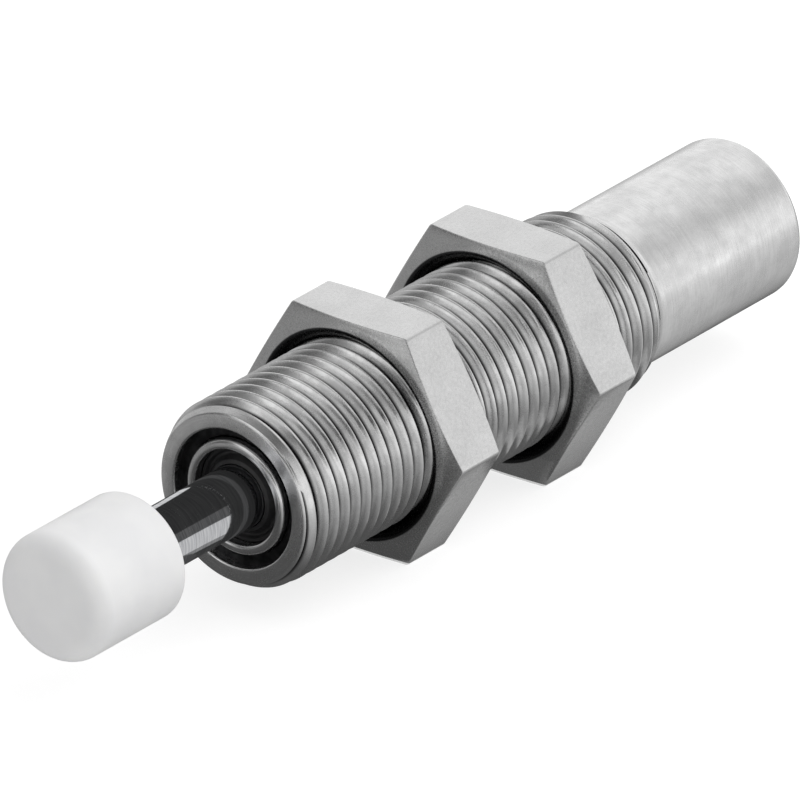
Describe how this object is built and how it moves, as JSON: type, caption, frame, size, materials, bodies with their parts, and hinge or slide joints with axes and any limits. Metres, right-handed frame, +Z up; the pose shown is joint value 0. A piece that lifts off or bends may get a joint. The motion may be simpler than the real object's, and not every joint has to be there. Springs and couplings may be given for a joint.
{
  "type": "industrial shock absorber",
  "caption": "Threaded hydraulic shock absorber: sprung piston rod with a white impact cap, thin hexagon lock nuts and a smooth rear barrel.",
  "frame": {"origin": "on the axis, in the plane of the threaded body's front face, where the rod comes out", "axes": "+X along the axis towards the impact cap, +Z up, square to two flats of each nut, on which the part lies"},
  "size_m": [0.0655, 0.0174, 0.015],
  "materials": {
    "plated_steel": "turned steel, nickel plated, satin",
    "nut_steel": "cold-formed steel, matt nickel plated",
    "white_plastic": "moulded white acetal, fine matt",
    "hard_chrome": "ground and hard-chromed",
    "bright_steel": "turned, bright",
    "black_steel": "black oxide on steel",
    "zinc_steel": "machined, zinc plated",
    "spring_steel": "drawn wire, oiled",
    "sintered_bronze": "sintered, oil filled",
    "nitrile_rubber": "moulded, matt black",
    "foam_rubber": "closed-cell foam"
  },
  "bodies": {
    "barrel": {"outer_tube": "plated_steel", "retaining_ring": "black_steel", "gland": "bright_steel", "rod_wiper": "nitrile_rubber", "guide_bush": "sintered_bronze", "rod_seal": "nitrile_rubber", "seal_washer": "black_steel", "gland_o_ring": "nitrile_rubber", "foam_sleeve": "foam_rubber", "stopper_plate": "zinc_steel", "pressure_tube": "bright_steel", "return_spring": "spring_steel", "base_plug": "zinc_steel", "filler_ball": "bright_steel", "filler_screw": "black_steel"},
    "rod": {"piston_rod": "hard_chrome", "impact_cap": "white_plastic", "piston_collar": "zinc_steel", "piston": "zinc_steel", "piston_clip": "spring_steel"},
    "check_valve": {"check_ring": "sintered_bronze"},
    "front_nut": {"front_nut": "nut_steel"},
    "rear_nut": {"rear_nut": "nut_steel"}
  },
  "joints": [
    {"name": "rod_slide", "type": "slide", "parent": "barrel", "child": "rod", "axis": [1, 0, 0], "range_m": [-0.008, 0], "stiffness_N_per_m": 330, "springref_m": 0.0128, "deforming": ["return_spring"]},
    {"name": "check_ring_float", "type": "slide", "parent": "rod", "child": "check_valve", "axis": [1, 0, 0], "range_m": [-0.0004, 0]},
    {"name": "front_nut_travel", "type": "slide", "parent": "barrel", "child": "front_nut", "axis": [1, 0, 0], "range_m": [-0.0045, 0.0095]},
    {"name": "rear_nut_travel", "type": "slide", "parent": "barrel", "child": "rear_nut", "axis": [1, 0, 0], "range_m": [-0.00585, 0.0045]}
  ]
}
